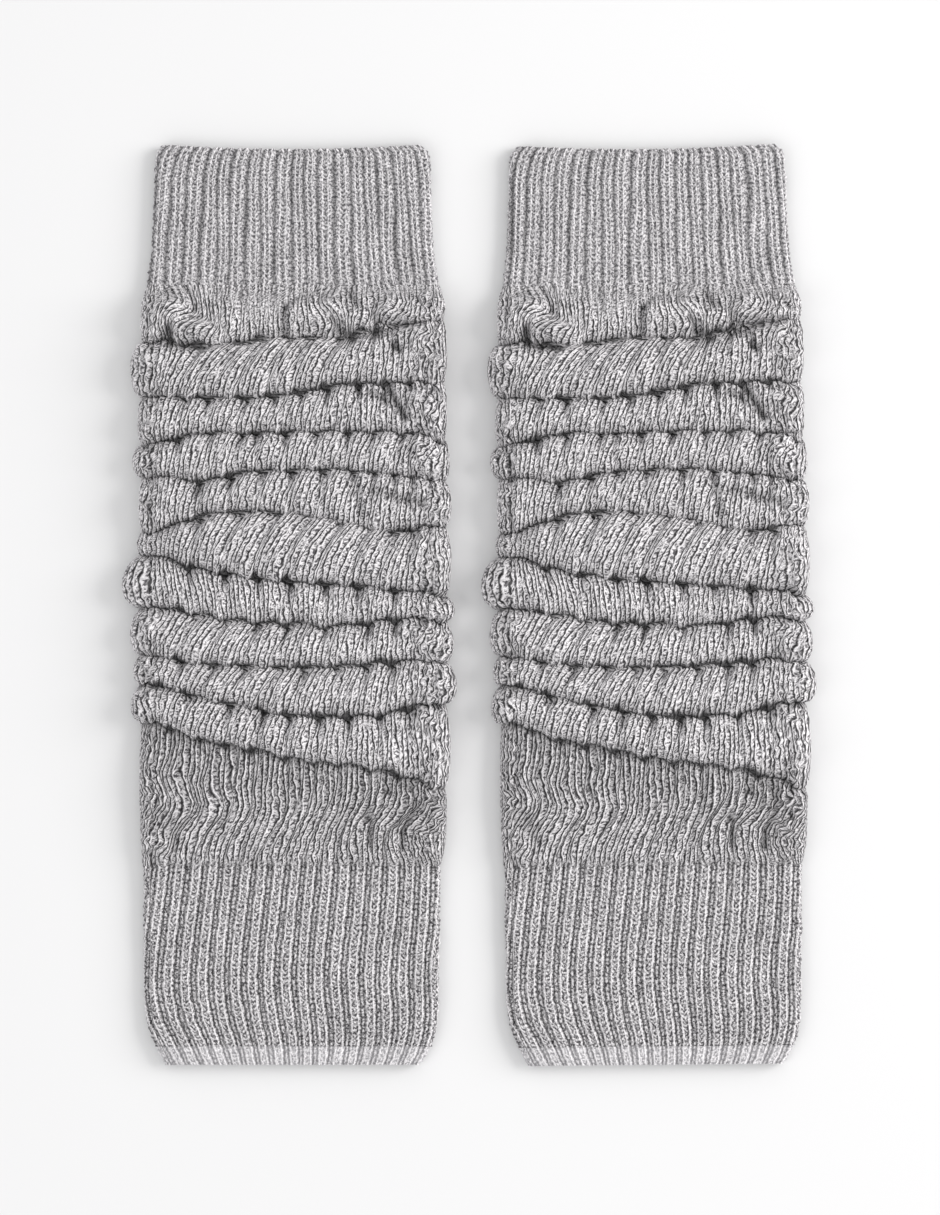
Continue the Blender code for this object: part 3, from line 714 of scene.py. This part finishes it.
def creaseLine(crease, seed, across, facing):
    places = leg["rolls"][crease][1]
    front = alongTable(places, across)
    hidden = places[0] + (places[-1] - places[0]) * across
    if crease in leg["pits"]:
        x = leg["halfWidth"] * (2 * across - 1)
        lobe, width = lobesAlong(crease, seed, x)
        dip = pitDepth(crease, seed, x, 0 * x, 1.0) * leg["pitDip"]
        ragged = leg["raggedFirst"] if crease == 1 else leg["ragged"]
        ragged = ragged * smoothNoise(seed * 7 + crease, across, 6.0, 18.0)
        lobes = leg["lobeRise"] * np.minimum(width, leg["lobeWidest"]) * lobe
        front = front + awayFromEdges(across, 8) * (dip - lobes + 0.35 + ragged)
    return np.where(facing == -90, hidden, front) * mm


def alongSegments(segments, x, down):
    # a soft trough's depth or ridge's height, greatest on the line between its two ends
    depth = np.zeros_like(x)
    for x0, down0, x1, down1, deep, reach in segments:
        runX = (x1 - x0) * mm
        runDown = (down1 - down0) * mm
        share = ((x - x0 * mm) * runX + (down - down0 * mm) * runDown) / (runX**2 + runDown**2)
        share = np.clip(share, 0, 1)
        away = np.hypot(x - x0 * mm - share * runX, down - down0 * mm - share * runDown) / (reach * mm)
        depth = np.maximum(depth, deep * mm * np.exp(-away**2))
    return depth


def buildRoll(k, seed, round0):
    # the rows from one crease to the next: x, down, height, the place in the count of rolls, how much painted
    # shade the cloth takes, how far across it lies and the angle that it faces
    _, _, rise, leftOut, rightOut, ease, lean = leg["rolls"][k]
    isBand = k == 0
    isRelaxed = k == lastRoll
    rows = leg["relaxedRows"] if isRelaxed else leg["rollRows"] + leg["bandRows"] * isBand

    def rowsTo(end):
        return np.linspace(0, end, rows + 1)[:rows + isRelaxed, None]

    shifted = round0 + 0 * rowsTo(1)
    if isRelaxed:
        # wales wander aside, and pass round the edges of the tube
        plainAcross = foldRound(round0, pair["front"], leg["side"])[0]
        shifted = shifted + byThirds(leg["waver"], rowsTo(1), plainAcross) * mm
        sway = smoothNoise(seed + 41, plainAcross + 0.12 * rowsTo(1), 3.0, 9.0) * np.sin(math.pi * rowsTo(1))
        shifted = shifted + leg["sway"] * mm * sway
    across, facing = foldRound(shifted, pair["front"], leg["side"])
    upward = np.maximum(0, np.sin(np.radians(facing)))
    isFront = facing == 90
    plainX = leg["halfWidth"] * (2 * across - 1)
    top = creaseLine(k, seed, across, facing)
    span = creaseLine(k + 1, seed, across, facing) - top
    risen = rowsTo(1) if isBand or isRelaxed else (1 - np.cos(rowsTo(math.pi))) / 2
    share = risen ** (1 / ease)
    profile = np.sqrt(np.maximum(0, 1 - (2 * risen - 1) ** 2))
    down = top + span * (share - leg["lean"] * profile * (1 - share) ** 2 * (0 < k < lastRoll))
    down = withinSeams(down)

    # lobes: the roll sinks at the pits over and under it, and swells between them
    leaning = alongTable(lean, across) * span * (1.1 * (1 - share) ** 1.8 - 0.38)
    leaning = leaning * np.minimum(1, profile / 0.35)
    waleX = plainX + leaning / mm * 0.6
    above = 0 * waleX
    lobeAbove = lobeBelow = 0.5
    below = pitDepth(k + 1, seed, waleX, (1 - share) * span / mm, leg["pitReach"], leg["pitTrail"])
    below = leg["pitBelow"] * below
    if not isBand:
        above = pitDepth(k, seed, waleX, share * span / mm, leg["pitReach"])
        lobeAbove = lobesAlong(k, seed, waleX)[0]
    if not isRelaxed:
        lobeBelow = lobesAlong(k + 1, seed, waleX)[0]
    swell = 1 + 0.2 * ((lobeAbove - 0.6) * (1 - share) + 0.7 * (lobeBelow - 0.6) * share)
    swell = swell + 0.08 * smoothNoise(seed * 13 + k, across, 1.0, 5.0)
    sunk = np.clip(0.9 * above + below, 0, 0.95) * (0.4 if isRelaxed else 1.0)
    crown = np.minimum(rise * mm, leg["crownShare"] * span)
    raised = crown * profile**1.4 * swell * (1 - sunk * isFront)
    if isBand:
        raised = raised * smoothBetween(down - upperSeam, 0, 5 * mm)
    fade = np.clip(fromSeams(down) / (leg["seamFade"] * mm), 0, 1)
    back = leg["lift"] * mm * fade * (1 - np.minimum(1, profile / leg["landShare"]))
    out = np.where(across < 0.5, leftOut, rightOut) * mm * profile
    x, up = placeOnTube(across, facing, down, sectionAt(down)[2] + raised, back, out)

    # wales lean down each roll and draw together at the pits
    drawn = 0
    for place, deep in pitsOn(k, seed):
        off = plainX - place
        near = np.exp(-((off / 3.5) ** 2)) * np.exp(-share * span / (3.0 * mm))
        drawn = drawn - 0.35 * min(1, deep) * off * near * (not isBand)
    x = x + np.where(isFront, (leaning + drawn * mm) * awayFromEdges(across), 0)

    # painted shade in the creases and pits
    wedge = smoothBetween(below / leg["pitBelow"], 0.15, 0.5)
    edge = 1 - smoothBetween(profile, 0.1, np.where((risen < 0.5) & (not isRelaxed), 0.35, 0.6))
    if isBand or isRelaxed:
        edge = np.where((risen < 0.5) == isBand, 0, edge)
    if k < 2:
        # the painted shade of the first crease fades out towards the right edge
        edge = edge * (1 - 0.65 * smoothBetween(across, 0.76, 0.88) * ((risen > 0.5) == isBand))
    paintedShade = np.clip(0.85 * edge + 0.45 * above + 0.95 * wedge, 0, 1) * upward
    return x, down + 0 * x, up, share + k + 0 * x, paintedShade + 0 * x, across, facing


def tangle(seed, x, down, up, paintedShade, upward):
    # knots twist the cloth round a spot
    for knotX, knotDown, size, degrees, rise in leg["knots"]:
        awayX = x - knotX * mm
        awayDown = down - knotDown * mm
        near = np.hypot(awayX, awayDown) / (size * mm)
        weight = np.exp(-near**2) * upward
        turn = leg["bandTurn"] if knotDown < leg["bandEnd"] else leg["edgeTurn"]
        angle = math.radians(degrees * turn) * weight
        x = knotX * mm + awayX * np.cos(angle) - awayDown * np.sin(angle)
        down = knotDown * mm + awayX * np.sin(angle) + awayDown * np.cos(angle)
        ring = np.exp(-(((near - 1.25) / 0.28) ** 2)) * upward
        up = up + (0.8 * rise * weight - 0.4 * min(1, rise) * ring) * mm
        # painted shade in the ring round each knot
        paintedShade = np.maximum(paintedShade, 0.15 * ring)
    for pullX, pullDown, size, strength in leg["pulls"]:
        near = np.exp(-(((x - pullX * mm) / (size * mm)) ** 2) - ((down - pullDown * mm) / (size * mm)) ** 2)
        x = x - (x - pullX * mm) * strength * near * upward
    for outline, high, reach in leg["lumps"]:
        outline = np.array(outline) * mm
        below = (down - np.interp(x, outline[:, 0], outline[:, 1])) / mm
        within = smoothBetween(x, outline[0, 0], outline[0, 0] + 2.5 * mm)
        within = within * (1 - smoothBetween(x, outline[-1, 0] - 4 * mm, outline[-1, 0])) * upward
        swollen = smoothBetween(below, -0.4, 1.5) * (1 - smoothBetween(below, 0.4 * reach, reach))
        up = up + high * mm * within * swollen
        # painted shadow along the upper edge of each lump
        dark = leg["lumpShade"] * min(1, high / 3)
        paintedShade = np.maximum(paintedShade, dark * within * np.exp(-((below + 0.8) / 0.75) ** 2))
    tuck = alongSegments(leg["tucks"], x, down) * upward
    up = up - np.minimum(tuck, np.maximum(up - sectionAt(down)[2], 0))
    # painted shade in the tucks
    paintedShade = np.maximum(paintedShade, np.clip(tuck / (5 * mm), 0, 0.9))

    # the loose edges are rumpled, but the left end of the slanted roll is smooth
    rumpled = smoothBetween(x, 38 * mm, 54 * mm) + smoothBetween(-x, 49 * mm, 57 * mm)
    rumpled = rumpled * upward * smoothBetween(fromSeams(down), 0, 6 * mm)
    rumpled = rumpled * (1 - 0.75 * (x < 0) * np.exp(-(((down - 168 * mm) / (9 * mm)) ** 2)))
    x = x + rumpled * leg["rumple"] * mm * patchNoise(seed + 51, x, down, leg["rumpleCell"])
    down = down + rumpled * leg["rumple"] * mm * patchNoise(seed + 52, x, down, leg["rumpleCell"])
    up = up + rumpled * leg["rumpleRise"] * mm * patchNoise(seed + 53, x, down, leg["rumpleCell"])
    return x, down, up, paintedShade


def buildLeg(side, material):
    seed = pair["seeds"][side]
    perWale = leg["samplesPerWale"]
    frontCount = leg["wales"] * perWale
    wide = pair["front"]
    halfRound = leg["side"]
    round0 = columnsRound(frontCount, leg["sideWales"] * perWale, leg["backColumns"], wide, halfRound)
    rolls = [buildRoll(k, seed, round0) for k in range(lastRoll + 1)]
    x, down, up, share, paintedShade, across, facing = (np.concatenate(part) for part in zip(*rolls))
    upward = np.maximum(0, np.sin(np.radians(facing)))
    isFront = facing == 90

    # the relaxed stretch: fine pleats, and gathers that run into the ribs of the lower cuff
    local = np.clip(share - lastRoll, 0, 1)
    wale = np.interp(round0, [0, wide, wide + halfRound, 2 * wide + halfRound, 2 * (wide + halfRound)],
                     np.cumsum([0, leg["wales"], leg["sideWales"], leg["wales"], leg["sideWales"]]))
    toCuff = lowerSeam - down
    nearCuff = np.clip(1 - toCuff / (leg["gatherReach"] * mm), 0, 1)
    atCuff = smoothBetween(toCuff, 0.2 * mm, (3.2 + 1.2 * smoothNoise(seed + 8, across, 5, 14)) * mm)
    lowerPlace = ribsAt(lowerCuff, seed, lowerSeam, across, across * lowerCuff["ribs"])
    gather = (1 - np.cos(2 * math.pi * lowerPlace)) / 2
    gather = gather * np.clip(0.75 + 0.5 * smoothNoise(seed + 2, across, 4, 11), 0.2, 1.3)
    up = up + np.where(isFront, leg["gatherRise"] * mm * nearCuff * gather * atCuff, 0)
    pleat = smoothNoise(seed + 9, wale / leg["wales"] + 0.01 * np.sin(3 * local), 9.0, 24.0)
    pleated = np.clip(local * 5, 0, 1) * atCuff
    up = up + np.where(isFront, leg["pleatRise"] * mm * pleat * pleated, 0)
    # painted shade in the valleys of the pleats and between the gathers at the cuff
    slitShadow = 0.25 * np.clip(-pleat - 0.1, 0, 1) * pleated + 0.3 * nearCuff**3 * (1 - gather)
    paintedShade = np.where(isFront, np.maximum(paintedShade, np.clip(slitShadow, 0, 0.9)), paintedShade)
    x, down, up, paintedShade = tangle(seed, x, down, up, paintedShade, upward)

    # wales that bunch and part
    calm = smoothBetween(fromSeams(down), 0, 5 * mm)
    up = up + upward * calm * 0.3 * mm * patchNoise(seed + 17, x, down, 12 * mm)
    bunch = smoothNoise(seed + 23, wale / 9 + 0.35 * share, 1.0, 4.0)
    bunch = bunch * (leg["bunch"] + leg["bunchRelaxed"] * np.clip(3 * local, 0, 1)) * (1 - 0.6 * nearCuff)
    x = x + np.where(isFront, bunch * mm * awayFromEdges(across) * calm, 0)
    # the first and last rows lie along the seams
    down = withinSeams(down)
    down[0] = withinSeams(0)
    down[-1] = withinSeams(1)

    points = np.stack([x, down, up], axis=-1)
    arc = np.linalg.norm(np.diff(points[:, :frontCount], axis=0), axis=2).mean(axis=1)
    course = np.concatenate([[0], np.cumsum(arc)])[:, None] / stitch["tall"]
    insidePoints = insideOf(points, 3, 4, 2.2 * mm)
    normals = surfaceNormals(points)

    # how far apart the wales lie, 1 where they are even
    aside = np.gradient(points, axis=1) / np.gradient(round0)[:, None]
    along = np.gradient(points, axis=0)
    pitch = np.linalg.norm(np.cross(aside, along), axis=2) / np.maximum(np.linalg.norm(along, axis=2), 1e-9)
    pitch = np.where(isFront, np.clip(pitch, 0.3, 2.5), 1.0)
    crowded = np.where(isFront, np.clip(1.05 - pitch, 0, 1), 0)
    # painted shade where the wales crowd together, less in the band under the upper cuff and least at its
    # edges
    paintedShade = np.maximum(paintedShade, 0.7 * crowded * smoothBetween(local, 0, 0.1))
    inBand = (1 - smoothBetween(share, 0.85, 1)) * upward
    paintedShade = paintedShade * (1 - (0.3 + 0.35 * np.abs(2 * across - 1)) * inBand)
    cord = ((1 + np.cos(2 * math.pi * wale)) / 2) ** (2 * np.clip(pitch, 1, 1.4) ** 2)
    # painted shade between the cords of the relaxed stretch, most under its crease
    shaded = upward * smoothBetween(local, 0, 0.03) * (1 - 0.75 * smoothBetween(local, 0.2, 0.7))
    paintedShade = np.maximum(paintedShade, 0.5 * (1 - cord) * shaded)
    waleSeed = np.random.default_rng(seed + 31).uniform(0.6, 1.3, int(wale.max()) + 2)
    cordRise = leg["cordRise"] * mm * waleSeed[np.round(wale).astype(int)]
    cordRise = cordRise * (1 + 0.35 * patchNoise(seed + 37, x * 2.2, down, 9 * mm))
    cordRise = cordRise * (1 - 0.4 * smoothBetween(local, 0, 0.15))

    # at the seams the wales gather into the cuffs' ribs
    runOn = 6 + 12 * np.exp(-(((x + 12 * mm) / (14 * mm)) ** 2))
    toUpper = 1 - smoothBetween((down - upperSeam) / runOn, 0.05 * mm, mm)
    ragged = 3.0 + 2.2 * smoothNoise(seed + 19, across, 7, 21)
    toLower = 1 - smoothBetween((lowerSeam - down) / ragged, 0.1 * mm, mm)
    upperPlace = ribsAt(upperCuff, seed, upperSeam, across, across * upperCuff["ribs"])
    upperRib = ribLift(upperCuff, upperPlace, upperCuff["ribRise"] * (0.5 + 0.5 * upperCuff["blurTo"]))
    lowerRib = ribLift(lowerCuff, lowerPlace, lowerCuff["ribRise"])
    lift = cord * cordRise * (1 - toUpper) * (1 - toLower) + (upperRib * toUpper + lowerRib * toLower) * mm
    strength = np.clip(np.sin(np.radians(facing)) + 0.6, 0, 1)
    sideways = (1 - upward) * strength
    beads = (0.05 + 0.2 * sideways) * mm * np.sin(2 * math.pi * course + math.pi * np.round(wale))
    points = points + normals * ((lift + beads) * strength)[..., None]
    points[..., 2] = np.maximum(points[..., 2], 0)

    knitU = np.broadcast_to(wale + 0.5, x.shape)
    knitV = np.broadcast_to(course, x.shape)
    rib = np.where(isFront, upperCuff["blurTo"] * toUpper + toLower, 0) + 0 * x
    ribPlace = np.where(down < 0.15, upperPlace, lowerPlace)
    uneven = 0.25 + 0.3 * patchNoise(seed + 61, x * 1.5, down, 14 * mm) - 0.6 * inBand
    stretched = np.clip(uneven + 0.8 * crowded + 0.6 * smoothBetween(local, 0, 0.2), 0, 1)
    fields = {"rib": rib, "paintedShade": paintedShade, "stretched": stretched, "pitch": np.clip(pitch, 1, 1.25)}
    return knitMesh(f"{side}_leg_knit", points, insidePoints, knitU, knitV, ribPlace, fields, side, material)


materials = {
    "rib_knit": knitMaterial("marled rib knit", yarnBase),
    "fine_knit": knitMaterial("marled fine rib knit", fineYarn),
    "loose_knit": knitMaterial("marled loose knit", looseYarn),
    "welt_knit": knitMaterial("pale welt knit", weltYarn),
}
print("knit materials made")

for side in ("left", "right"):
    made = {
        "upper_cuff": buildCuff("upper_cuff", side, upperCuff, materials["fine_knit"]),
        "leg": buildLeg(side, materials["loose_knit"]),
        "lower_cuff": buildCuff("lower_cuff", side, lowerCuff, materials["rib_knit"]),
        "welt": buildCuff("welt", side, welt, materials["welt_knit"]),
    }
    for part, piece in made.items():
        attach(piece, "root")
        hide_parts(f"{side}_{part}")
        triangles = sum(len(face.vertices) - 2 for face in piece.data.polygons)
        print(piece.name, triangles, "triangles")
    print(side, "leg warmer made")


# Studio

studio = {
    "floorSize": 3.0,
    "floorBelow": 0.2 * mm,
    "floorColour": (0.78, 0.78, 0.785),
    "viewHeight": 479.0 * mm,
    "viewCentre": (0.35 * mm, -0.9 * mm),
    "cameraHeight": 1.7,
    # place, size, power and colour
    "lights": {
        "key": ((1.8, 0.4, 1.0), 1.3, 36.0, (1.0, 0.99, 0.98)),
        "fill": ((-1.5, -0.7, 1.5), 1.4, 9.0, (1.0, 1.0, 1.0)),
    },
    "worldLight": 0.78,
    "exposure": 0.0,
}


def buildStudio():
    bpy.ops.mesh.primitive_plane_add(size=studio["floorSize"], location=(0, 0, -studio["floorBelow"]))
    floor = bpy.context.object
    floor.name = "floor"
    paint = bpy.data.materials.new("pale floor")
    paint.use_nodes = True
    surface = paint.node_tree.nodes["Principled BSDF"].inputs
    surface["Base Color"].default_value = (*studio["floorColour"], 1)
    surface["Roughness"].default_value = 0.9
    floor.data.materials.append(paint)
    for name, (place, size, power, colour) in studio["lights"].items():
        data = bpy.data.lights.new(name, "AREA")
        data.size = size
        data.energy = power
        data.color = colour
        lamp = bpy.data.objects.new(name, data)
        lamp.location = place
        # each lamp points at the middle of the frame
        x, y, z = place
        lamp.rotation_euler = (math.atan2(math.hypot(x, y), z), 0, math.atan2(y, x) + math.pi / 2)
        bpy.context.scene.collection.objects.link(lamp)
    world = bpy.data.worlds.new("studio")
    world.use_nodes = True
    sky = world.node_tree.nodes["Background"].inputs
    sky["Color"].default_value = (1, 1, 1, 1)
    sky["Strength"].default_value = studio["worldLight"]
    bpy.context.scene.world = world
    bpy.context.scene.view_settings.view_transform = "Standard"
    bpy.context.scene.view_settings.exposure = studio["exposure"]
    lens = bpy.data.cameras.new("camera")
    lens.sensor_fit = "VERTICAL"
    lens.sensor_height = 36.0
    lens.lens = lens.sensor_height * studio["cameraHeight"] / studio["viewHeight"]
    lens.clip_end = 10
    camera = bpy.data.objects.new("camera", lens)
    camera.location = (*studio["viewCentre"], studio["cameraHeight"])
    bpy.context.scene.collection.objects.link(camera)
    bpy.context.scene.camera = camera


buildStudio()
print("studio made")
